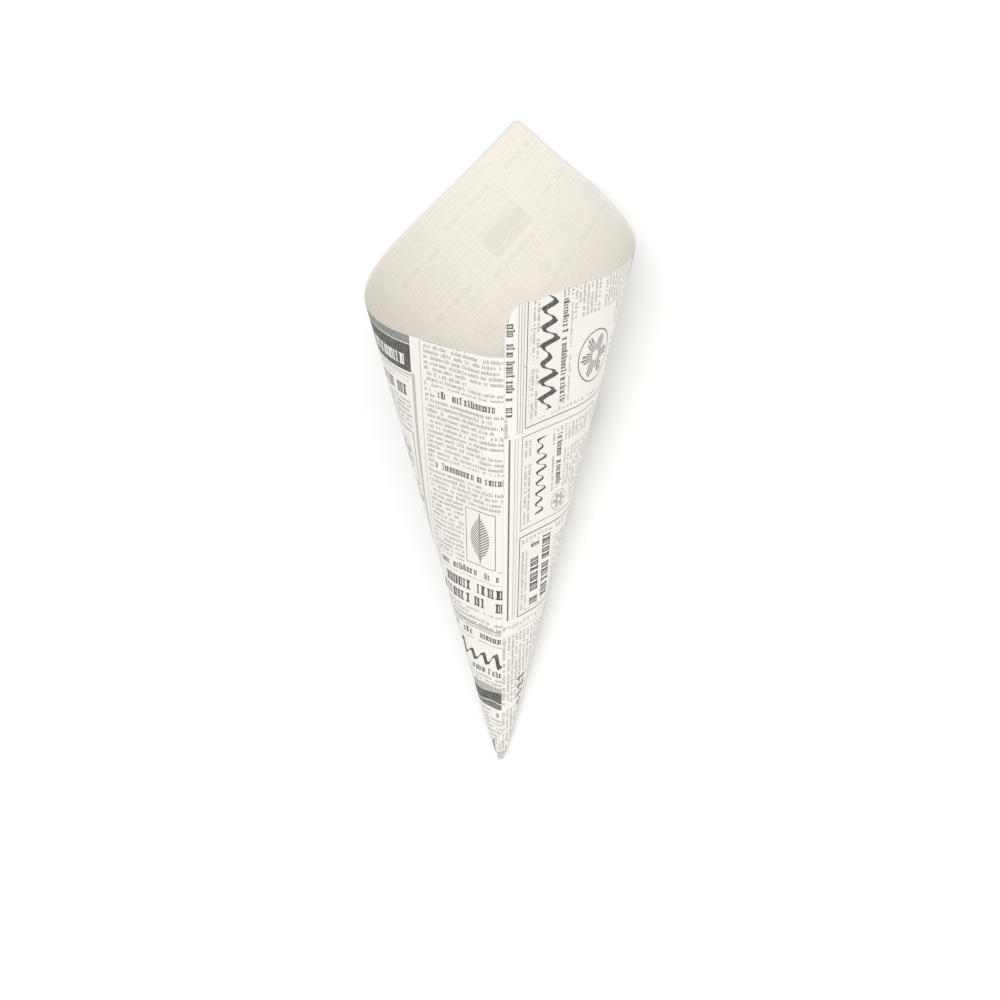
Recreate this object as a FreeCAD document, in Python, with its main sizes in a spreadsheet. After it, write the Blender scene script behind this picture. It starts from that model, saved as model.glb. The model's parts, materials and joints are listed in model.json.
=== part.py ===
import FreeCAD, Part
import math
import os

from FreeCAD import Placement, Rotation, Vector

# Cone paper cup for chips: one rectangular page of thin paper, rolled about one of its corners.
# The right-hand edge of the roll is glued over the left-hand edge along a lapped seam, and the
# page's far corner stands up as a peak behind the mouth. The paper only bends, so every part of it
# lies on straight rulings through one apex, and the page's straight edges stay straight on the
# unrolled page.

doc = FreeCAD.newDocument("cone_paper_cup")
sheet = doc.addObject("Spreadsheet::Sheet", "sizes")

# Driving sizes, in millimetres and degrees.
SIZES = [
    ("right_edge", 259.0, "page edge on the outside of the seam, from the apex to the mouth"),
    ("left_edge", 235.0, "page edge under the seam, from the apex to the mouth"),
    ("paper", 0.12, "thickness of the paper"),
    ("half_angle", 14.05, "half the opening angle of the round body"),
    ("ridge_tilt", 12.5, "angle between the body's axis and the axis of the rounded ridge"),
    ("ridge_angle", 4.6, "half the opening angle of the rounded ridge at the seam"),
    ("lap_angle", 2.4, "angle at the apex of the glue flap under the seam"),
    ("corner_long", 12.0, "rounding at the top of the seam, along the right-hand edge"),
    ("corner_wide", 8.0, "the same rounding, along the top edge"),
    ("corner_past", 0.4, "how far past the right-hand edge the rounding would turn back"),
    ("peak_blunt", 1.2, "how much of the page's far corner is cut off, along the diagonal"),
    ("tip_height", 11.4, "height above the apex at which the tip is cut off"),
    ("core_height", 5.0, "height of the tip that is filled by folded paper"),
    ("tail_wide", 3.2, "width of the folded tail below the tip"),
    ("tail_narrow", 2.2, "width of the tail at its end"),
    ("tail_thick", 1.0, "thickness of the tail"),
    ("tail_long", 3.5, "length of the tail below the tip"),
]

for row, (name, value, meaning) in enumerate(SIZES, start=1):
    sheet.set("A%d" % row, name)
    sheet.set("B%d" % row, str(value))
    sheet.set("C%d" % row, meaning)
    sheet.setAlias("B%d" % row, name)
doc.recompute()

right_edge = float(sheet.right_edge)
left_edge = float(sheet.left_edge)
paper = float(sheet.paper)
body_angle = math.radians(float(sheet.half_angle))
ridge_tilt = math.radians(float(sheet.ridge_tilt))
ridge_angle = math.radians(float(sheet.ridge_angle))
lap = math.radians(float(sheet.lap_angle))
corner_long = float(sheet.corner_long)
corner_wide = float(sheet.corner_wide)
corner_past = float(sheet.corner_past)
peak_blunt = float(sheet.peak_blunt)
tip_height = float(sheet.tip_height)
core_top = tip_height + float(sheet.core_height)

# Largest turn of the page between two points of a curve, in radians at the apex.
STEP = math.radians(2.0)
LEAST_SPANS = 6
# The two edges of a ruled face run the same way.
SAME_WAY = 1


# The section of the roll. Seen from the apex it is a large round arc, the body, and a small round
# arc, the ridge at the seam, joined by two flat flanks that touch both arcs. The body's axis is +Z
# and the ridge points to -Y.
up = Vector(0, 0, 1)
side = Vector(1, 0, 0)
front = Vector(0, -1, 0)
ridge_axis = up * math.cos(ridge_tilt) + front * math.sin(ridge_tilt)
ridge_front = front * math.cos(ridge_tilt) - up * math.sin(ridge_tilt)

# The normal of the right flank makes the same angle with each axis as that axis's own arc does.
flank_up = -math.sin(body_angle)
flank_front = (math.sin(body_angle) * math.cos(ridge_tilt) - math.sin(ridge_angle)) / math.sin(ridge_tilt)
flank_side = math.sqrt(1 - flank_up ** 2 - flank_front ** 2)
flank_normal = up * flank_up + front * flank_front + side * flank_side


def touch(axis, angle):
    """The ruling along which the right flank touches the arc about an axis."""
    return (axis + flank_normal * math.sin(angle)) * (1 / math.cos(angle))


ridge_end = touch(ridge_axis, ridge_angle)
body_start = touch(up, body_angle)
ridge_turn = math.atan2(ridge_end.dot(side), ridge_end.dot(ridge_front))
body_turn = math.atan2(body_start.dot(side), body_start.dot(front))
flank_width = ridge_end.getAngle(body_start)

# Angles on the unrolled page, measured at the apex from the right-hand edge.
flat_ridge = ridge_turn * math.sin(ridge_angle)
flat_flank = flat_ridge + flank_width
flat_half = flat_flank + (math.pi - body_turn) * math.sin(body_angle)
flat_all = 2 * flat_half
flat_peak = math.atan2(left_edge / right_edge - math.cos(flat_all), math.sin(flat_all))
flat_corner = math.atan2(corner_wide, right_edge)

# The rounded corner is part of an ellipse that touches the top edge and is cut by the right-hand
# edge.
round_wide = corner_wide + corner_past
round_long = corner_long / (1 - math.sqrt(1 - (corner_wide / round_wide) ** 2))
round_foot = right_edge - round_long

# The blunt end of the far corner is a short cut across the page's diagonal.
blunt_slant = right_edge / math.cos(flat_peak) - peak_blunt


def arc_ruling(axis, across, angle, turn):
    """Direction and outward normal of the ruling at a turn round an arc of the section."""
    outward = across * math.cos(turn) + side * math.sin(turn)
    direction = axis * math.cos(angle) + outward * math.sin(angle)
    normal = outward * math.cos(angle) - axis * math.sin(angle)
    return direction, normal


def ruling(flat):
    """Direction and outward normal of the ruling at an angle on the unrolled page."""
    near = min(flat, flat_all - flat)
    if near < flat_ridge:
        direction, normal = arc_ruling(ridge_axis, ridge_front, ridge_angle, near / math.sin(ridge_angle))
    elif near < flat_flank:
        along = near - flat_ridge
        direction = ridge_end * math.sin(flank_width - along) + body_start * math.sin(along)
        direction = direction * (1 / math.sin(flank_width))
        normal = Vector(flank_normal)
    else:
        turn = body_turn + (near - flat_flank) / math.sin(body_angle)
        direction, normal = arc_ruling(up, front, body_angle, turn)
    if flat > flat_half:
        direction.x = -direction.x
        normal.x = -normal.x
    return direction, normal


def place(flat, slant, offset):
    """The point at a distance from the apex along a ruling, set off along its normal."""
    direction, normal = ruling(flat)
    return direction * slant + normal * offset


def slant_at(flat, height, offset):
    """The distance along a ruling at which the set-off point reaches a height."""
    direction, normal = ruling(flat)
    return (height - normal.z * offset) / direction.z


def middle(flat):
    """The middle of the paper: outside the seam surface on the right, inside it on the left."""
    wound = max(0.0, flat - lap) / (flat_all - lap)
    return paper * (0.5 - wound)


def inside(flat):
    return middle(flat) - paper / 2


def outside(flat):
    return middle(flat) + paper / 2


def flap_inside(flat):
    return -paper


def flap_outside(flat):
    return paper / 2


def blunt_flat(edge, flat):
    """The angle from an edge of the page at which the cut across the far corner, itself at a given
    angle from that edge, meets the page's border."""
    return math.atan2(blunt_slant - edge * math.cos(flat), edge * math.sin(flat))


flat_before = blunt_flat(right_edge, flat_peak)
flat_after = flat_all - blunt_flat(left_edge, flat_all - flat_peak)


def rounded_corner(flat):
    """The distance from the apex to the ellipse of the rounded corner, its farther crossing."""
    across = math.sin(flat) / round_wide
    along = math.cos(flat) / round_long
    square = across ** 2 + along ** 2
    half = across * corner_wide / round_wide + along * round_foot / round_long
    rest = (corner_wide / round_wide) ** 2 + (round_foot / round_long) ** 2 - 1
    return (half + math.sqrt(half ** 2 - square * rest)) / square


def page_top(flat):
    """The distance from the apex to the page's border."""
    if flat < flat_corner:
        return rounded_corner(flat)
    if flat < flat_before:
        return right_edge / math.cos(flat)
    if flat < flat_after:
        return blunt_slant / math.cos(flat - flat_peak)
    return left_edge / math.cos(flat_all - flat)


def flap_top(flat):
    """The glue flap goes on in the line of the left-hand page's top edge."""
    return left_edge / math.cos(flat)


def curve(start, end, point_at):
    """A smooth edge through points worked out between two angles of the page."""
    count = max(LEAST_SPANS, math.ceil((end - start) / STEP))
    flats = [start + (end - start) * i / count for i in range(count + 1)]
    line = Part.BSplineCurve()
    line.interpolate(Points=[point_at(flat) for flat in flats], Parameters=flats)
    return line.toShape()


def breaks(start, end):
    """The angles at which the section or the page's edge changes its form."""
    marks = [lap, flat_corner, flat_ridge, flat_flank, flat_before, flat_peak, flat_after]
    marks += [flat_all - flat_flank, flat_all - flat_ridge]
    inner = [mark for mark in sorted(marks) if start + 1e-4 < mark < end - 1e-4]
    kept = [start]
    for mark in inner:
        if mark - kept[-1] > 1e-4:
            kept.append(mark)
    return kept + [end]


def wall(start, end, top, inner, outer):
    """A closed solid of paper between two rulings, from the cut tip up to a top edge."""

    def corner(flat, skin, high):
        offset = skin(flat)
        slant = top(flat) if high else slant_at(flat, tip_height, offset)
        return place(flat, slant, offset)

    def end_face(flat):
        ring = [corner(flat, inner, False), corner(flat, outer, False)]
        ring += [corner(flat, outer, True), corner(flat, inner, True)]
        return Part.Face(Part.makePolygon(ring + ring[:1]))

    faces = [end_face(start), end_face(end)]
    marks = breaks(start, end)
    for a, b in zip(marks, marks[1:]):
        low_inner = curve(a, b, lambda flat: corner(flat, inner, False))
        low_outer = curve(a, b, lambda flat: corner(flat, outer, False))
        high_outer = curve(a, b, lambda flat: corner(flat, outer, True))
        high_inner = curve(a, b, lambda flat: corner(flat, inner, True))
        loop = [low_inner, low_outer, high_outer, high_inner, low_inner]
        faces += [Part.makeRuledSurface(first, second, SAME_WAY) for first, second in zip(loop, loop[1:])]
    shell = Part.makeShell(faces)
    shell.sewShape()
    solid = Part.makeSolid(shell)
    if solid.Volume < 0:
        solid.reverse()
    return solid


def tip_core():
    """The end of the tip, where the folded paper leaves no hollow."""

    def ring(height):
        def rim_point(flat):
            offset = middle(flat)
            return place(flat, slant_at(flat, height, offset), offset)

        marks = breaks(0.0, flat_all)
        edges = [curve(a, b, rim_point) for a, b in zip(marks, marks[1:])]
        edges.append(Part.makeLine(rim_point(flat_all), rim_point(0.0)))
        return Part.Wire(edges)

    return Part.makeLoft([ring(tip_height), ring(core_top)], True, True)


def add_shape(name, shape):
    feature = doc.addObject("Part::Feature", name)
    feature.Shape = shape
    return feature


right_panel = add_shape("right_panel", wall(0.0, flat_peak, page_top, inside, outside))
left_panel = add_shape("left_panel", wall(flat_peak, flat_all, page_top, inside, outside))
glue_flap = add_shape("glue_flap", wall(0.0, lap, flap_top, flap_inside, flap_outside))
core = add_shape("tip_core", tip_core())

# The folded tail of the tip: a flat wedge that starts inside the core and narrows downwards.
tail = doc.addObject("Part::Wedge", "tip_tail")
tail.setExpression("Xmin", "-sizes.tail_wide / 2")
tail.setExpression("Xmax", "sizes.tail_wide / 2")
tail.setExpression("X2min", "-sizes.tail_narrow / 2")
tail.setExpression("X2max", "sizes.tail_narrow / 2")
tail.setExpression("Zmin", "-sizes.tail_thick / 2")
tail.setExpression("Zmax", "sizes.tail_thick / 2")
tail.setExpression("Z2min", "-sizes.tail_thick / 2")
tail.setExpression("Z2max", "sizes.tail_thick / 2")
tail.setExpression("Ymin", "-sizes.core_height / 2")
tail.setExpression("Ymax", "sizes.tail_long")
tail.Placement = Placement(Vector(0, 0, tip_height), Rotation(side, -90))

cone = doc.addObject("Part::MultiFuse", "paper_cone")
cone.Label = "paper_cone"
cone.Shapes = [right_panel, left_panel, glue_flap, core, tail]
doc.recompute()

# The empty cone lies on the ruling below its centre of mass, with the seam on top, the tip towards
# -Y and the peak towards +Y.
balance = cone.Shape.Solids[0].CenterOfMass
lean = math.atan2(balance.dot(side), balance.dot(front)) % (2 * math.pi)
rest_flat = flat_flank + (lean - body_turn) * math.sin(body_angle)
along, down = ruling(rest_flat)
laid = Rotation(along.cross(down) * -1, along, down * -1, "YXZ")
laid = laid.inverted()
cone.Placement = Placement(Vector(0, 0, 0), laid)
box = cone.Shape.optimalBoundingBox(False, False)
shift = Vector(-(box.XMin + box.XMax) / 2, -(box.YMin + box.YMax) / 2, -box.ZMin)
cone.Placement = Placement(shift, laid)
doc.recompute()

for item in doc.Objects:
    if "Invalid" in item.State or "Error" in item.State:
        raise RuntimeError("%s is in state %s" % (item.Name, item.State))
if cone.Shape.isNull() or not cone.Shape.isValid() or len(cone.Shape.Solids) != 1:
    raise RuntimeError("paper_cone is not one valid solid")
shape = cone.Shape.Solids[0]

os.makedirs("parts", exist_ok=True)
shape.exportStep("parts/%s.step" % cone.Label)
print("page angle %.2f deg, peak at %.2f deg" % (math.degrees(flat_all), math.degrees(flat_peak)))
print("volume %.1f mm3, box %s" % (shape.Volume, shape.optimalBoundingBox(False, False)))
print("rests on the ruling at %.3f deg of the page, apex at %s" % (math.degrees(rest_flat), shift))
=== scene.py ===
import json
import math

import bpy
import numpy as np
from mathutils import Matrix, Vector


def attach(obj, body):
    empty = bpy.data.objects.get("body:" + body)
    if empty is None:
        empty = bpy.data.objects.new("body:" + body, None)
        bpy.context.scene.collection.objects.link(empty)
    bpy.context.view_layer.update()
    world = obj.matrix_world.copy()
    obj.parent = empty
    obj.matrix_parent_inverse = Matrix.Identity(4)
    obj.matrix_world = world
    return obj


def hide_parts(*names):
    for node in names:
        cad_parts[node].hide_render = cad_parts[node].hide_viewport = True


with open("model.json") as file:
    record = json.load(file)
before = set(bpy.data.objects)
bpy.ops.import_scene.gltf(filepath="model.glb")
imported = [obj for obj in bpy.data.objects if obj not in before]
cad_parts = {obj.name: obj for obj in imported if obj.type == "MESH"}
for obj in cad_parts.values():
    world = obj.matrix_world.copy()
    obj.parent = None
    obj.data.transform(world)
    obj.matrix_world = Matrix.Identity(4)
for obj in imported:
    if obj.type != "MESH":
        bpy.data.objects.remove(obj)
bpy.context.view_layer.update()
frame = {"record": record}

# The rolled page: one sheet of thin greaseproof paper, cut square, printed on one side and rolled
# about its bottom right corner. The right-hand edge comes round over the left-hand one, and a strip
# of glue holds the lap. Every part of it lies on straight rulings that meet in one apex.
RIGHT_EDGE = 0.2586
LEFT_EDGE = 0.235
PAPER = 0.00012
BODY_ANGLE = math.radians(14.05)
RIDGE_TILT = math.radians(12.5)
RIDGE_ANGLE = math.radians(4.6)
LAP_ANGLE = math.radians(2.4)
CORNER_LONG = 0.012
CORNER_WIDE = 0.008
CORNER_PAST = 0.0004
PEAK_BLUNT = 0.0015
TIP_HEIGHT = 0.0128
# The sheet was cut a little out of square, which leans the peak to the right.
TOP_LEAN = math.radians(0.4)
LEFT_LEAN = math.radians(0.3)
# The turn round the body's axis, from the seam's ridge, of the line that the empty cone rests on.
RESTING_TURN = math.radians(149.35)
# The holder's ring meets the cone this far above its apex.
RING_HEIGHT = 0.15

up = np.array([0.0, 0.0, 1.0])
side = np.array([1.0, 0.0, 0.0])
front = np.array([0.0, -1.0, 0.0])
ridge_axis = up * math.cos(RIDGE_TILT) + front * math.sin(RIDGE_TILT)
ridge_front = front * math.cos(RIDGE_TILT) - up * math.sin(RIDGE_TILT)

# Two flat flanks join the small round ridge at the seam to the large round body. The normal of the
# right flank makes the same angle with each round part's axis as that part itself does.
flank_up = -math.sin(BODY_ANGLE)
flank_front = math.sin(BODY_ANGLE) * math.cos(RIDGE_TILT) - math.sin(RIDGE_ANGLE)
flank_front = flank_front / math.sin(RIDGE_TILT)
flank_side = math.sqrt(1 - flank_up ** 2 - flank_front ** 2)
flank_normal = up * flank_up + front * flank_front + side * flank_side
ridge_end = (ridge_axis + flank_normal * math.sin(RIDGE_ANGLE)) / math.cos(RIDGE_ANGLE)
body_start = (up + flank_normal * math.sin(BODY_ANGLE)) / math.cos(BODY_ANGLE)
ridge_turn = math.atan2(ridge_end @ side, ridge_end @ ridge_front)
body_turn = math.atan2(body_start @ side, body_start @ front)
flank_width = math.acos(ridge_end @ body_start)

# Angles on the unrolled page, measured at the apex from its right-hand edge.
flat_ridge = ridge_turn * math.sin(RIDGE_ANGLE)
flat_flank = flat_ridge + flank_width
flat_half = flat_flank + (math.pi - body_turn) * math.sin(BODY_ANGLE)
flat_all = 2 * flat_half
flat_corner = math.atan2(CORNER_WIDE, RIGHT_EDGE)


def arc_ruling(axis, across, angle, turn):
    """Rulings of a round cone: its axis, leant by its half angle towards each turn round it."""
    outward = np.outer(np.cos(turn), across) + np.outer(np.sin(turn), side)
    direction = axis * math.cos(angle) + outward * math.sin(angle)
    return direction, outward * math.cos(angle) - axis * math.sin(angle)


def ruling(flat):
    """Direction and outward normal of the ruling at each angle of the unrolled page. Past the whole
    roll it goes round again, under the lap, and the left half mirrors the right one."""
    wrapped = np.where(flat > flat_all, flat - flat_all, flat)
    near = np.minimum(wrapped, flat_all - wrapped)
    on_ridge = arc_ruling(ridge_axis, ridge_front, RIDGE_ANGLE, near / math.sin(RIDGE_ANGLE))
    on_body = arc_ruling(up, front, BODY_ANGLE, body_turn + (near - flat_flank) / math.sin(BODY_ANGLE))
    along = np.clip(near - flat_ridge, 0, flank_width)
    flank = np.outer(np.sin(flank_width - along), ridge_end) + np.outer(np.sin(along), body_start)
    on_flank = flank / math.sin(flank_width), np.tile(flank_normal, (len(flat), 1))
    mirror = np.where(wrapped > flat_half, -1.0, 1.0)[:, None] * side + (up + np.abs(front))
    parts = []
    for ridge, flat_part, body in zip(on_ridge, on_flank, on_body):
        chosen = np.where((near < flat_ridge)[:, None], ridge, flat_part)
        parts.append(np.where((near > flat_flank)[:, None], body, chosen) * mirror)
    return parts


def page_border(flat):
    """Distance from the apex to the page's border: the nearer of the top edge and the left edge,
    the ellipse that rounds the corner at the seam and the short cut that blunts the far corner."""
    top = RIGHT_EDGE / np.cos(np.minimum(flat + TOP_LEAN, flat_half + TOP_LEAN))
    left = LEFT_EDGE / np.cos(flat_all - LEFT_LEAN - flat)
    peak = np.argmin(np.abs(top - left))
    blunt = (top[peak] - PEAK_BLUNT) / np.cos(flat - flat[peak])
    round_wide = CORNER_WIDE + CORNER_PAST
    round_long = CORNER_LONG / (1 - math.sqrt(1 - (CORNER_WIDE / round_wide) ** 2))
    round_foot = RIGHT_EDGE - round_long
    across, along = np.sin(flat) / round_wide, np.cos(flat) / round_long
    square = across ** 2 + along ** 2
    half = across * CORNER_WIDE / round_wide + along * round_foot / round_long
    rest = (CORNER_WIDE / round_wide) ** 2 + (round_foot / round_long) ** 2 - 1
    rounded = (half + np.sqrt(np.maximum(half ** 2 - square * rest, 0))) / square
    straight = np.minimum(np.where(flat < flat[peak], top, left), blunt)
    return np.where(flat < flat_corner, rounded, straight)


def laid_on_floor():
    """The cone's own frame in the row's frame: the mount gives the body's axis and the apex, and
    the ruling at the resting turn faces straight down."""
    ring = next(m for m in frame["record"]["mounts"] if m["name"] == "holder_ring")
    axis = -Vector(ring["axis"]).normalized()
    apex = Vector(ring["pos_m"]) - axis * RING_HEIGHT
    down = Vector((0, 0, -1))
    radial = (down - axis * down.dot(axis)).normalized()
    tangent = axis.cross(radial)
    across = radial * math.sin(RESTING_TURN) + tangent * math.cos(RESTING_TURN)
    ahead = radial * math.cos(RESTING_TURN) - tangent * math.sin(RESTING_TURN)
    return Matrix.Translation(apex) @ Matrix((across, -ahead, axis)).transposed().to_4x4()


laid = laid_on_floor()

# Where the paper isn't quite a straight roll: the last stretch before the tip is drawn in by its
# folds, and the back of the mouth has a shallow wave.
DRAWN_FROM = 0.022
DRAWN_IN = 1.0
WAVE_DEEP = 0.00015
WAVE_LONG = math.radians(17)
WAVE_FROM = 0.20
# The middle of each level lies ahead of the body's axis by this share of its height.
MIDDLE_LEAN = math.tan(RIDGE_TILT) * 0.12

# Side margin of the baked picture, and foot and height of its bands for outside, inside and edge.
BAKE_MARGIN = 0.01
BAKE_BANDS = ((0.01, 0.70), (0.73, 0.24), (0.98, 0.01))


def handled(points, normal, flat, slant):
    """The roll as it looks in use. Near the tip each point goes towards the middle of its own level,
    by a share that grows with the square of the way down; near the mouth the wall goes inwards by a
    half sine wave whose depth grows towards the border."""
    height = points[..., 2:3]
    middle = height * (up + front * MIDDLE_LEAN)
    down = np.clip((DRAWN_FROM - height) / DRAWN_FROM, 0, 1)
    points = points + (middle - points) * DRAWN_IN * down ** 2
    near = np.clip(np.minimum(flat, flat_all - flat) - flat_flank, 0, None) / WAVE_LONG
    rise = np.clip((slant - WAVE_FROM) / WAVE_FROM, 0, 1)
    depth = WAVE_DEEP * (1 - np.cos(2 * math.pi * near))[:, None] * rise
    return points - normal[:, None, :] * depth[..., None]


def closed_sheet(name, flat, slant, middle, paper):
    """A closed skin of paper on a grid of rulings (columns) and distances from the apex (rows): the
    outer skin, the inner skin half the paper to either side, and a strip of faces along each edge.
    Its page map holds the unrolled page in metres, and OFBake sets the two skins one over the other."""
    direction, normal = ruling(flat)
    shape = slant.shape
    skins = []
    for side_of in (0.5, -0.5):
        offset = middle + side_of * paper
        skin = direction[:, None, :] * slant[..., None] + normal[:, None, :] * offset[..., None]
        skins.append(handled(skin, normal, flat, slant))
    points = np.concatenate([skin.reshape(-1, 3) for skin in skins])
    number = np.arange(slant.size).reshape(shape)
    outer, inner = number, number + slant.size
    quads = [
        np.stack([outer[:-1, :-1], outer[1:, :-1], outer[1:, 1:], outer[:-1, 1:]], -1).reshape(-1, 4),
        np.stack([inner[:-1, :-1], inner[:-1, 1:], inner[1:, 1:], inner[1:, :-1]], -1).reshape(-1, 4),
    ]
    rim = np.concatenate([number[:-1, 0], number[-1, :-1], number[:0:-1, -1], number[0, :0:-1]])
    after = np.roll(rim, -1)
    quads.append(np.stack([after, rim, rim + slant.size, after + slant.size], -1))
    faces = np.concatenate(quads)
    mesh = bpy.data.meshes.new(name)
    mesh.from_pydata(points, [], faces)
    kind = np.repeat([0, 1, 2], [len(part) for part in quads])
    page = np.stack([slant * np.cos(flat)[:, None], slant * np.sin(flat)[:, None]], -1).reshape(-1, 2)
    at_corner = np.tile(page, (2, 1))[faces.ravel()]
    layer = mesh.uv_layers.new(name="page")
    layer.uv.foreach_set("vector", at_corner.astype(np.float32).ravel())
    lowest, highest = page.min(0), page.max(0)
    share = (at_corner - lowest) / (highest - lowest)
    foot, tall = np.array(BAKE_BANDS)[kind].repeat(4, 0).T
    across = BAKE_MARGIN + (1 - 2 * BAKE_MARGIN) * share[:, 0]
    baked = np.stack([across, foot + tall * share[:, 1]], -1)
    layer = mesh.uv_layers.new(name="OFBake")
    layer.uv.foreach_set("vector", baked.astype(np.float32).ravel())
    mesh.polygons.foreach_set("material_index", kind.astype(np.int32))
    mesh.polygons.foreach_set("use_smooth", kind < 2)
    mesh.transform(laid)
    mesh.update()
    piece = bpy.data.objects.new(name, mesh)
    bpy.context.scene.collection.objects.link(piece)
    return piece


# Columns and rows of the grid, with closer columns over an angle before the roll's middle ruling,
# where the page's far corner lies.
COLUMNS, ROWS = 340, 104
PEAK_REACH, PEAK_COLUMNS = 0.09, 61
marks = [flat_corner, flat_ridge, flat_flank, flat_all - flat_flank, flat_all - flat_ridge, flat_all]
near_peak = np.linspace(flat_half - PEAK_REACH, flat_half, PEAK_COLUMNS)
flat = np.union1d(np.linspace(0, flat_all + LAP_ANGLE, COLUMNS), np.concatenate([marks, near_peak]))
direction, _ = ruling(flat)
foot = TIP_HEIGHT / direction[:, 2]
slant = foot[:, None] + (page_border(flat) - foot)[:, None] * np.linspace(0, 1, ROWS)
wound = np.clip((flat - LAP_ANGLE) / (flat_all - LAP_ANGLE), 0, 1)
middle = np.repeat((PAPER * (0.5 - wound))[:, None], ROWS, 1)
page = closed_sheet("rolled_page", flat, slant, middle, PAPER)
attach(page, "root")
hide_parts("paper_cone")


# The print on the outside: one upright page in the manner of an old newspaper, in one warm black.
# It carries no words and no pictures of things for sale: the type is greeked into rows of short
# strokes, and its blocks hold plain waves, rosettes, leaves and hills. All of it is in millimetres,
# measured on the unrolled page, leftwards from its right-hand edge and up from its foot.
class Drawn:
    """A number that shader nodes work out at each point of the page, written as plain arithmetic."""

    def __init__(self, tree, socket):
        self.tree, self.socket = tree, socket

    def work(self, operation, *values):
        node = self.tree.nodes.new("ShaderNodeMath")
        node.operation = operation
        for place, value in zip(node.inputs, (self, *values)):
            if isinstance(value, Drawn):
                self.tree.links.new(value.socket, place)
            else:
                place.default_value = value
        return Drawn(self.tree, node.outputs[0])

    def __add__(self, other):
        return self.work("ADD", other)

    def __sub__(self, other):
        return self.work("SUBTRACT", other)

    def __mul__(self, other):
        return self.work("MULTIPLY", other)

    def __truediv__(self, other):
        return self.work("DIVIDE", other)

    def __lt__(self, other):
        return self.work("LESS_THAN", other)

    def __gt__(self, other):
        return self.work("GREATER_THAN", other)

    def __and__(self, other):
        return self.work("MULTIPLY", other)

    def __or__(self, other):
        return self.work("MAXIMUM", other)

    def near(self, other, reach):
        return self.work("COMPARE", other, reach)


def chance(*cell):
    """Three numbers from 0 to 1 that stay the same all over one cell of the page."""
    tree = cell[0].tree
    gather = tree.nodes.new("ShaderNodeCombineXYZ")
    for place, value in zip(gather.inputs, cell):
        if isinstance(value, Drawn):
            tree.links.new(value.socket, place)
        else:
            place.default_value = value
    noise = tree.nodes.new("ShaderNodeTexWhiteNoise")
    tree.links.new(gather.outputs[0], noise.inputs["Vector"])
    split = tree.nodes.new("ShaderNodeSeparateColor")
    tree.links.new(noise.outputs["Color"], split.inputs[0])
    return [Drawn(tree, socket) for socket in split.outputs]


def block(x, y, left, right, foot, head):
    """Distance outwards from the border of an upright rectangle: the larger of the ways past its
    sides and past its ends, and less than nothing inside it."""
    past_side = (x - (left + right) / 2).work("ABSOLUTE") - (left - right) / 2
    past_end = (y - (foot + head) / 2).work("ABSOLUTE") - (head - foot) / 2
    return past_side | past_end


# Shares of the cells of greeked type that stay bare and that rise, the gap under each row as a share
# of its height, and how unevenly the cells stand along it.
BARE_CELLS = 0.16
RISING_CELLS = 0.28
ROW_GAP = 0.16
UNEVEN = 0.18


def type_rows(x, y, wide, tall, weight, body, rise, seed):
    """Greeked type: each cell of a row holds one or two upright strokes, and the first has a tick
    across its foot and its top. Some strokes rise higher and some cells stay bare."""
    row = (y / tall).work("FLOOR")
    level = y / tall - row
    place = x / wide + (x * (2.2 / wide) + row * 2.4).work("SINE") * UNEVEN + row * 0.37
    stroke = place.work("FLOOR")
    within = place - stroke
    first, second, third = chance(stroke, row, seed)
    middle = first * 0.22 + 0.60
    top = (second > 1 - RISING_CELLS) * rise + body
    set_here = (level > ROW_GAP) & (third > BARE_CELLS)
    upright = within.near(middle, weight / 2) & (level < top)
    other = within.near(middle * 0.36, weight / 2.6) & (level < body) & (first > 0.3)
    ticked = level.near(0.21, 0.055) | level.near(top - 0.05, 0.055)
    tick = within.near(middle, weight / 2 + 0.14) & ticked
    return (upright | other | tick) & set_here


LINE = 2.6
COLUMN = 46.5
CUT_OFF = 3.0
GUTTER = 2
COLUMN_RULE = 0.16
# Type in three sizes: width of a cell, height of a row, weight of a stroke, its height, how much
# higher some strokes rise, and the seed.
SMALL_TYPE = (0.95, LINE, 0.3, 0.62, 0.22, 1)
HEAD_TYPE = (2.1, 2 * LINE, 0.36, 0.7, 0.14, 2)
LARGE_TYPE = (2.9, 3 * LINE, 0.36, 0.84, 0.0, 5)
# How dark the small type, the heads, the engraved pictures and the column rules are printed.
SMALL_INK = 0.76
HEAD_INK = 0.95
ENGRAVED_INK = 0.85
RULE_INK = 0.7


def in_rows(first, count, lines):
    """Foot and head of a stretch of rows of type, each as high as so many lines of small print."""
    return first * LINE * lines, (first + count) * LINE * lines


# Blocks of the page, as left, right, foot and head. Nothing is set in the bare ones. The first column
# is cut off by the page's edge, along the seam.
heads = [
    (34, -4, *in_rows(40, 1, 2)),
    (37, -4, *in_rows(33, 1, 2)),
    (38, -4, *in_rows(23, 1, 2)),
    (31, -4, *in_rows(16, 1, 2)),
    (19, -4, *in_rows(12, 1, 2)),
    (5.6, -1, *in_rows(7, 1, 2)),
    (250, 207, *in_rows(0, 1, 2)),
    (255, 206, *in_rows(6, 1, 2)),
    (190, 163, *in_rows(6, 1, 2)),
    (82, 52, *in_rows(8, 1, 2)),
]
displays = [
    (39, -4, *in_rows(13, 2, 3)),
    (78, 51, *in_rows(26, 1, 3)),
    (138, 101, *in_rows(2, 2, 3)),
]
bare = [
    (19.5, -4, 127, 157),
    (28, -4, 68, 81),
    (19, -4, 42, 57),
    (262, 197, 3.4, 10.0),
    (262, 203, 18.8, 30.8),
    (243, 204, 40, 72),
    (196, 150, 16.5, 28),
    (160, 148, 28, 42),
    (196, 98, 0, 8.2),
    (102, 46, 213.0, 236),
    (51, 43, 60, 217),
    (201.5, 194, 8, 80),
    (149, 141.5, 8, 64),
    (76, 51, 155, 186),
    (98, 95, 0, 60),
]
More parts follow.
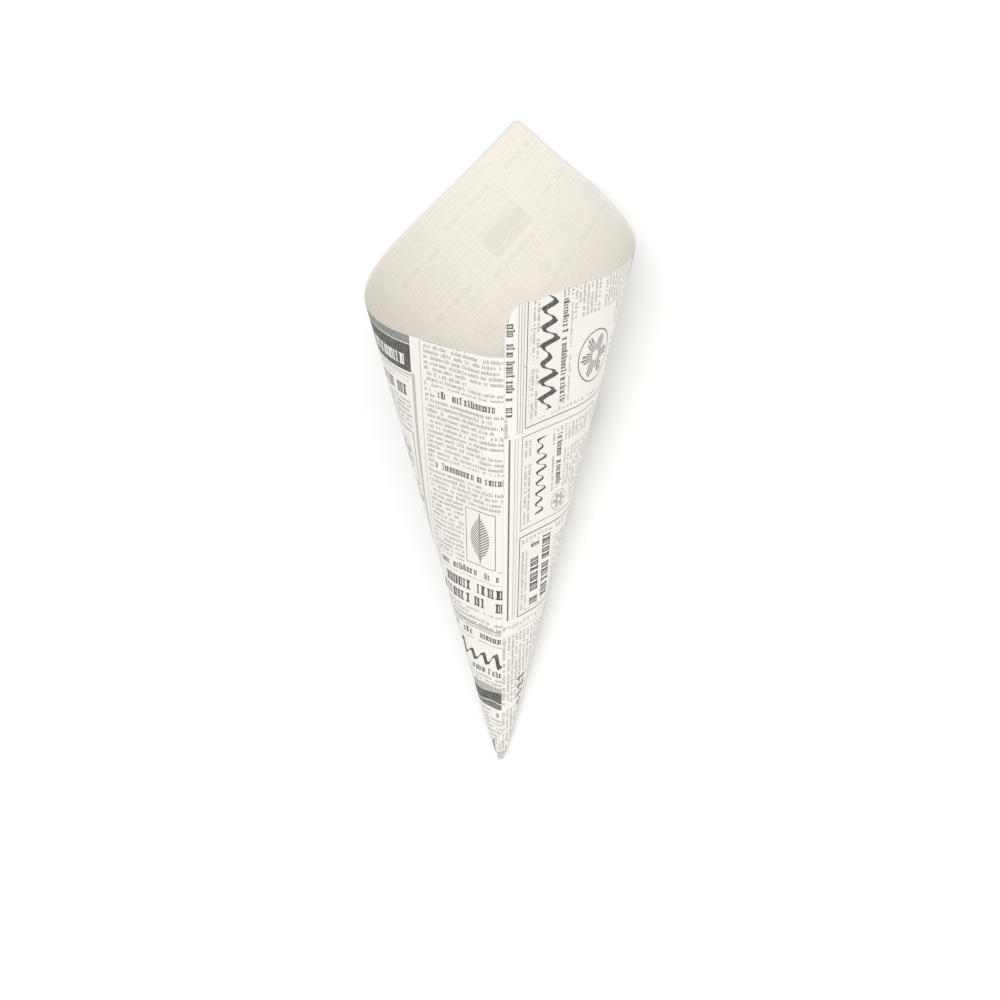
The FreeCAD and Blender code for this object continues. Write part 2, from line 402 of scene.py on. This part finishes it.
frames = [
    (263, 200, 10.4, 78, 0.45),
    (196, 147, 9.0, 62, 0.35),
    (143, 97.5, 9.0, 50, 0.55),
    (19.5, 3, 127, 157, 0.35),
    (75, 52, 156, 185, 0.5),
]
rosettes = [(222, 56, 13), (154, 35, 5.5), (64, 170, 9)]
hills = [(18.5, -4, 42.5, 56.5)]
leaves = [(11.5, 142, 5.5, 12)]
scripts = [
    (260, 205, 24.8, 4.4, 8.4, 2.6),
    (192, 152, 22.3, 3.2, 5.6, 1.1),
    (27, -4, 74.5, 4.4, 7.4, 2.1),
    (60, 40, 13.5, 2.8, 5.2, 1.0),
]
rules = [
    (43, 0, 90.7, 91.3, 0.8),
    (43, 0, 88.8, 89.1, 0.7),
    (262, 198, 6.0, 6.3, 0.8),
    (262, 198, 7.3, 7.6, 0.8),
    (262, 198, 8.6, 8.9, 0.8),
    (196, 98, 2.2, 3.05, 0.9),
    (196, 98, 5.1, 5.4, 0.7),
    (196, 98, 6.6, 6.9, 0.6),
    (49.3, 47.3, 60, 217, 0.45),
    (102, 49.5, 231, 236, 0.78),
    (102, 49.5, 215.4, 215.9, 0.7),
    (102, 49.5, 214.1, 214.4, 0.7),
    (5.4, 3.8, 12.5, 21, 0.75),
]

# A dark band across the second column's head, and the row of large type knocked out of it.
DARK_BAND = (102, 49.5, 217, 230.6)
KNOCKED_OUT = (97, 52, *in_rows(28, 1, 3))

# Up the columns that the blocks above leave free, each story has its head over it, and three out of
# five have a picture: hills, a leaf or a framed rosette.
ROSETTE_SHARE = 0.36
LEAF_SHARE = 0.45
dice = np.random.default_rng(11)
for column in range(1, 6):
    right, left = column * COLUMN - CUT_OFF + 3, column * COLUMN - CUT_OFF + COLUMN - 3
    row = 17 if column > 1 else 12
    while row < (42 if column > 2 else 28):
        tall = int(dice.integers(5, 8))
        heads.append((left - 2, right + 3, *in_rows(row + tall - 1, 1, 2)))
        kind = dice.integers(5)
        foot, head = row * 2 * LINE + 1.5, (row + tall - 3) * 2 * LINE
        inset = right + float(dice.uniform(6, 16))
        if kind < 3:
            bare.append((left, inset, foot, head))
        if kind == 0:
            frames.append((left, inset, foot, head, 0.4))
            radius = min(head - foot, left - inset) * ROSETTE_SHARE
            rosettes.append(((left + inset) / 2, (foot + head) / 2, radius))
        elif kind == 1:
            hills.append((left, inset, foot + 0.8, head - 0.8))
        elif kind == 2:
            leaves.append(((left + inset) / 2, (foot + head) / 2, 4.5, (head - foot) * LEAF_SHARE))
        row += tall


def rosette(x, y, radius):
    """Six petals round a bare middle, in a ring: a disc whose radius goes up and down with the turn,
    hatched by lines that run outwards."""
    away = (x * x + y * y).work("SQRT")
    turn = x.work("ARCTAN2", y)
    petal = (turn * 3).work("COSINE").work("ABSOLUTE") * (radius * 0.5) + radius * 0.32
    hatched = (turn * 30).work("SINE") > -0.35
    flower = (away < petal) & (away > radius * 0.2) & hatched
    return flower | away.near(radius * 0.96, radius * 0.028)


def leaf(x, y, wide, tall):
    """A lens between two parabolas, hatched by veins that slope down to its middle line."""
    half = (y * y) * (-wide / tall ** 2) + wide
    veins = ((x.work("ABSOLUTE") * 0.8 - y) / 1.5).work("FRACT") > 0.45
    stalk = x.near(0, 0.3) & (y.work("ABSOLUTE") < tall * 1.15)
    return ((x.work("ABSOLUTE") < half) & veins) | stalk


def hill_picture(x, y, left, right, foot, head):
    """Two ranges of hills under a grey sky: tones that step at sine lines, darkest in the middle."""
    tall = head - foot
    level = (y - foot) / tall
    near_hills = (x * 0.33).work("SINE") * 0.06 + 0.16
    far_hills = (x * 0.21 + 1.9).work("SINE") * 0.07 + 0.72
    lake = level.near(near_hills + 0.09, 0.035) * -0.6
    sky = (level > far_hills) * -0.5
    haze = (level > 0.4) * (far_hills - level) * -0.2
    tone = lake + sky + haze + 1.0 - (level < near_hills) * 0.14
    return (block(x, y, left, right, foot, head) < 0) & tone


# How far the flourish's humps lean, how tall the lowest is and how much taller the others may be, as
# shares of its reach, and half the pen's width and its swell, as shares of the stroke.
PEN_LEAN = -0.07
PEN_LOWEST = 0.4
PEN_SPREAD = 0.45
PEN_HALF = 0.42
PEN_SWELL = 0.32


def script(x, y, left, right, middle, reach, wave, stroke):
    """A pen's flourish: leaning humps that rise from one line to heights of their own, each one cycle
    of a cosine, with the stroke thin on the way up and thick on the way down."""
    along = (x * -1 + (y - middle) * PEN_LEAN) / wave
    tall, _, _ = chance(along.work("FLOOR"), middle, 7)
    turn = along * (2 * math.pi)
    height = (tall * PEN_SPREAD + PEN_LOWEST) * reach
    line = (turn.work("COSINE") * -1 + 1) * height + (middle - reach)
    slope = turn.work("SINE") * height * (2 * math.pi / wave)
    away = (y - line).work("ABSOLUTE") / (slope * slope + 1).work("SQRT")
    pen = turn.work("SINE") * (-PEN_SWELL * stroke) + PEN_HALF * stroke
    return (away < pen) & (x < left) & (x > right)


def newsprint():
    """A node group that gives the ink, from none at 0 to full at 1, at a point of the page."""
    tree = bpy.data.node_groups.new("newsprint", "ShaderNodeTree")
    tree.interface.new_socket("Ink", in_out="OUTPUT", socket_type="NodeSocketFloat")
    where = tree.nodes.new("ShaderNodeUVMap")
    where.uv_map = "page"
    split = tree.nodes.new("ShaderNodeSeparateXYZ")
    tree.links.new(where.outputs[0], split.inputs[0])
    x = Drawn(tree, split.outputs["X"]) * 1000
    y = Drawn(tree, split.outputs["Y"]) * 1000

    column = ((x + CUT_OFF) / COLUMN).work("FLOOR")
    past_column = x + CUT_OFF - column * COLUMN
    gutter = (past_column < GUTTER) | (past_column > COLUMN - GUTTER)
    line_end, line_length, _ = chance(column, (y / LINE).work("FLOOR"), 3)
    unset = gutter | ((line_end < 0.14) & (past_column < line_length * 28 + 4) & (y > 42))
    ink = ((past_column < COLUMN_RULE) | (past_column > COLUMN - COLUMN_RULE)) & (y > 9) * RULE_INK
    for left, right, foot, head, line in frames:
        away = block(x, y, left, right, foot, head)
        ink = (ink & (away > 0)) | away.near(0, line / 2)
        unset = unset | away.near(0, 1.5)
    head_area = None
    for spot in heads:
        away = block(x, y, *spot)
        head_area = away < 0 if head_area is None else head_area | (away < 0)
        unset = unset | (away < 0.8)
    display_area = None
    for spot in displays:
        away = block(x, y, *spot)
        display_area = away < 0 if display_area is None else display_area | (away < 0)
        unset = unset | (away < 1.2)
    for spot in bare:
        unset = unset | (block(x, y, *spot) < 0.6)
    ink = ink | (type_rows(x, y, *SMALL_TYPE) & (unset < 0.5)) * SMALL_INK
    ink = ink | (type_rows(x, y, *HEAD_TYPE) & head_area) * HEAD_INK
    large = type_rows(x, y, *LARGE_TYPE)
    ink = ink | (large & display_area)
    knocked_out = large & (block(x, y, *KNOCKED_OUT) < 0)
    ink = ink | ((block(x, y, *DARK_BAND) < 0) & (knocked_out < 0.5))
    for left, right, foot, head, tone in rules:
        ink = ink | (block(x, y, left, right, foot, head) < 0) * tone
    for across, high, radius in rosettes:
        ink = ink | rosette(x - across, y - high, radius) * ENGRAVED_INK
    for across, high, wide, tall in leaves:
        ink = ink | leaf(x - across, y - high, wide, tall) * ENGRAVED_INK
    for spot in hills:
        ink = ink | hill_picture(x, y, *spot)
    for spot in scripts:
        ink = ink | script(x, y, *spot)
    out = tree.nodes.new("NodeGroupOutput")
    tree.links.new(ink.socket, out.inputs[0])
    return tree


printed = newsprint()

# The paper's two sides and its cut edge. It is matt and a little uneven in tone, with fine fibres,
# and thin enough for the print to show through faintly on the plain side.
PAPER_WHITE = (0.955, 0.930, 0.863)
INK = (0.058, 0.053, 0.044)
INSIDE_WARM = (0.862, 0.808, 0.748)
INSIDE_COOL = (0.843, 0.826, 0.755)
# The cut edge is drawn grey, well darker than the paper on either side of it.
EDGE_GREY = (0.72, 0.70, 0.62)
FIBRE_SCALE = 1400
CLOUD_SCALE = 28
SHOW_THROUGH = 0.10
ROUGHNESS_SPREAD = 0.16
FIBRE_STRENGTH = 0.25
FIBRE_RAISED = 0.00006


def noise_at(tree, scale, detail):
    """A noise over the cone as it lies, in cells of 1 / scale metres."""
    place = tree.nodes.new("ShaderNodeTexCoord")
    noise = tree.nodes.new("ShaderNodeTexNoise")
    noise.inputs["Scale"].default_value = scale
    noise.inputs["Detail"].default_value = detail
    tree.links.new(place.outputs["Object"], noise.inputs["Vector"])
    return Drawn(tree, noise.outputs["Fac"])


def between(tree, share, low, high):
    """A colour mixed from two, each a plain colour or another node's."""
    mix = tree.nodes.new("ShaderNodeMix")
    mix.data_type = "RGBA"
    tree.links.new(share.socket, mix.inputs[0])
    for place, colour in ((mix.inputs[6], low), (mix.inputs[7], high)):
        if isinstance(colour, tuple):
            place.default_value = (*colour, 1)
        else:
            tree.links.new(colour, place)
    return mix.outputs[2]


def paper(name, colour, roughness):
    """A matt paper: colour is a function of the node tree that gives the base colour, and the fibres
    raise the surface and vary its roughness."""
    material = bpy.data.materials.new(name)
    material.use_nodes = True
    tree = material.node_tree
    shader = tree.nodes["Principled BSDF"]
    tree.links.new(colour(tree), shader.inputs["Base Color"])
    fibre = noise_at(tree, FIBRE_SCALE, 3)
    uneven = fibre * ROUGHNESS_SPREAD + (roughness - ROUGHNESS_SPREAD / 2)
    tree.links.new(uneven.socket, shader.inputs["Roughness"])
    bump = tree.nodes.new("ShaderNodeBump")
    bump.inputs["Strength"].default_value = FIBRE_STRENGTH
    bump.inputs["Distance"].default_value = FIBRE_RAISED
    tree.links.new(fibre.socket, bump.inputs["Height"])
    tree.links.new(bump.outputs[0], shader.inputs["Normal"])
    return material


def ink_node(tree):
    group = tree.nodes.new("ShaderNodeGroup")
    group.node_tree = printed
    return Drawn(tree, group.outputs[0])


def printed_colour(tree):
    """White paper under the ink, which is a little worn by the fibres."""
    worn = noise_at(tree, FIBRE_SCALE * 0.6, 2) * -0.5 + 1.2
    cloud = noise_at(tree, CLOUD_SCALE, 2)
    sheet = between(tree, cloud, tuple(part * 0.985 for part in PAPER_WHITE), PAPER_WHITE)
    return between(tree, (ink_node(tree) * worn).work("MINIMUM", 1.0), sheet, INK)


def plain_colour(tree):
    """The unprinted side, warm in some places and cool in others, with the print showing through."""
    cloud = (noise_at(tree, CLOUD_SCALE, 2) * 3 - 1).work("MINIMUM", 1.0).work("MAXIMUM", 0.0)
    sheet = between(tree, cloud, INSIDE_WARM, INSIDE_COOL)
    return between(tree, ink_node(tree) * SHOW_THROUGH, sheet, INK)


def edge_colour(tree):
    """The cut edge, drawn darker than the paper: a mix of two greys by a fine noise."""
    deeper_grey = tuple(part * 0.9 for part in EDGE_GREY)
    return between(tree, noise_at(tree, FIBRE_SCALE, 2), deeper_grey, EDGE_GREY)


page.data.materials.append(paper("printed_side", printed_colour, 0.6))
page.data.materials.append(paper("plain_side", plain_colour, 0.7))
page.data.materials.append(paper("cut_edge", edge_colour, 0.75))

# The folded tip: what is left of the sheet below the cone's end, with its layers gathered, turned
# over on themselves and pressed flat into a small stiff tab.
FOLD_TOP = 0.0146
FOLD_FOOT = 0.0084
FOLD_WIDE = (0.0023, 0.0018, 0.0013)
FOLD_THICK = (0.0020, 0.0012, 0.0006)
FOLD_TWIST = math.radians(14)
FOLD_SQUARE = 3.2
FOLD_CREASE = 0.05


def pressed_tab(name):
    """Superellipses carried down the cone's middle line: their half width and half thickness go
    along parabolas through three sizes each, and they turn a little on the way."""
    turn = np.linspace(0, 2 * math.pi, 40, endpoint=False)
    down = np.linspace(0, 1, 24)
    powers = np.abs(np.cos(turn)) ** FOLD_SQUARE + np.abs(np.sin(turn)) ** FOLD_SQUARE
    reach = powers ** (-1 / FOLD_SQUARE)
    wide = np.polyval(np.polyfit((0, 0.5, 1), FOLD_WIDE, 2), down)[:, None]
    thick = np.polyval(np.polyfit((0, 0.5, 1), FOLD_THICK, 2), down)[:, None]
    across, ahead = wide * reach * np.cos(turn), thick * reach * np.sin(turn)
    crease = 1 - FOLD_CREASE * np.cos(turn * 5) * down[:, None]
    across, ahead = across * crease, ahead * crease
    twist = FOLD_TWIST * down[:, None]
    height = FOLD_TOP + (FOLD_FOOT - FOLD_TOP) * down[:, None]
    points = np.stack([
        across * np.cos(twist) - ahead * np.sin(twist),
        across * np.sin(twist) + ahead * np.cos(twist) - height * MIDDLE_LEAN,
        np.broadcast_to(height, across.shape),
    ], -1)
    number = np.arange(down.size * turn.size).reshape(down.size, turn.size)
    after = np.roll(number, -1, 1)
    faces = np.stack([number[:-1], number[1:], after[1:], after[:-1]], -1).reshape(-1, 4).tolist()
    faces += [number[0].tolist(), number[-1, ::-1].tolist()]
    mesh = bpy.data.meshes.new(name)
    mesh.from_pydata(points.reshape(-1, 3), [], faces)
    mesh.polygons.foreach_set("use_smooth", np.arange(len(faces)) < len(faces) - 2)
    mesh.transform(laid)
    mesh.update()
    piece = bpy.data.objects.new(name, mesh)
    bpy.context.scene.collection.objects.link(piece)
    return piece


def folded_shade_colour(tree):
    """White paper with painted shade: grey over the whole tab, and darker in creases that run across
    it.
    """
    # Painted shade: the white paper is mixed at least a fifth of the way towards the ink, and up to
    # four fifths in the noise's creases.
    crease = (noise_at(tree, 900, 2) * 3.2 - 1.3).work("MINIMUM", 1.0).work("MAXIMUM", 0.0)
    return between(tree, crease * 0.6 + 0.2, PAPER_WHITE, INK)


tip = pressed_tab("folded_tip")
tip.data.materials.append(paper("folded_paper", folded_shade_colour, 0.65))
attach(tip, "root")
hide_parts("paper_cone")

# The camera looks at the seam from above, tilted a little towards the mouth.
LENS = 39.6
SENSOR = 36.0
VIEW_TURN = math.radians(3.601)
VIEW_TILT = math.radians(12.264)
VIEW_ROLL = math.radians(-0.829)
DISTANCE = 0.5823
AIM_ALONG = 0.1445
AIM_ACROSS = -0.0005

seen_side = Vector((math.cos(VIEW_TURN), -math.sin(VIEW_TURN), 0))
seen_back = Vector((math.sin(VIEW_TURN), math.cos(VIEW_TURN), 0))
looking = seen_back * math.cos(VIEW_TILT) - Vector(up) * math.sin(VIEW_TILT)
raised = Vector(up) * math.cos(VIEW_TILT) + seen_back * math.sin(VIEW_TILT)
rightward = seen_side * math.cos(VIEW_ROLL) + raised * math.sin(VIEW_ROLL)
upward = raised * math.cos(VIEW_ROLL) - seen_side * math.sin(VIEW_ROLL)
stand = rightward * AIM_ACROSS + upward * AIM_ALONG - looking * DISTANCE
camera = bpy.data.objects.new("camera", bpy.data.cameras.new("camera"))
camera.data.lens = LENS
camera.data.sensor_width = SENSOR
turned = Matrix((rightward, upward, -looking)).transposed().to_4x4()
camera.matrix_world = laid @ Matrix.Translation(stand) @ turned
bpy.context.scene.collection.objects.link(camera)
bpy.context.scene.camera = camera

# The studio: a pale floor that the cone lies on, an even sky and one wide soft lamp above the
# camera and a little to its left. Floor and sky look white, and light the cone as pale grey ones would.
FLOOR_REACH = 6.0
FLOOR_GREY = 0.85
SKY = 0.74
SUN = 1.1
SUN_WIDE = math.radians(50)
SUN_LEFT = math.radians(4)
SUN_ABOVE = math.radians(11)


def seen_white(tree, grey):
    """White to the camera, also in gloss and through glass, and a grey to all other rays."""
    rays = tree.nodes.new("ShaderNodeLightPath")
    seen = Drawn(tree, rays.outputs["Is Camera Ray"])
    seen = seen | Drawn(tree, rays.outputs["Is Glossy Ray"])
    seen = seen | Drawn(tree, rays.outputs["Is Transmission Ray"])
    return between(tree, seen, (grey, grey, grey), (1.0, 1.0, 1.0))


def make_floor():
    """A square plane at the level the cone rests on."""
    corners = np.array([(-1, -1, 0), (1, -1, 0), (1, 1, 0), (-1, 1, 0)]) * FLOOR_REACH
    mesh = bpy.data.meshes.new("studio_floor")
    mesh.from_pydata(corners, [], [(0, 1, 2, 3)])
    floor = bpy.data.objects.new("studio_floor", mesh)
    bpy.context.scene.collection.objects.link(floor)
    material = bpy.data.materials.new("pale_floor")
    material.use_nodes = True
    tree = material.node_tree
    shader = tree.nodes["Principled BSDF"]
    shader.inputs["Roughness"].default_value = 1.0
    shader.inputs["Specular IOR Level"].default_value = 0.0
    tree.links.new(seen_white(tree, FLOOR_GREY), shader.inputs["Base Color"])
    mesh.materials.append(material)
    return floor


make_floor()

world = bpy.data.worlds.new("even_sky")
world.use_nodes = True
sky = world.node_tree.nodes["Background"]
world.node_tree.links.new(seen_white(world.node_tree, SKY), sky.inputs["Color"])
bpy.context.scene.world = world
sun = bpy.data.objects.new("wide_lamp", bpy.data.lights.new("wide_lamp", "SUN"))
sun.data.energy = SUN
sun.data.angle = SUN_WIDE
beside_camera = Matrix.Rotation(-SUN_LEFT, 4, "Y") @ Matrix.Rotation(-SUN_ABOVE, 4, "X")
sun.matrix_world = camera.matrix_world @ beside_camera
bpy.context.scene.collection.objects.link(sun)
bpy.context.scene.view_settings.view_transform = "Standard"
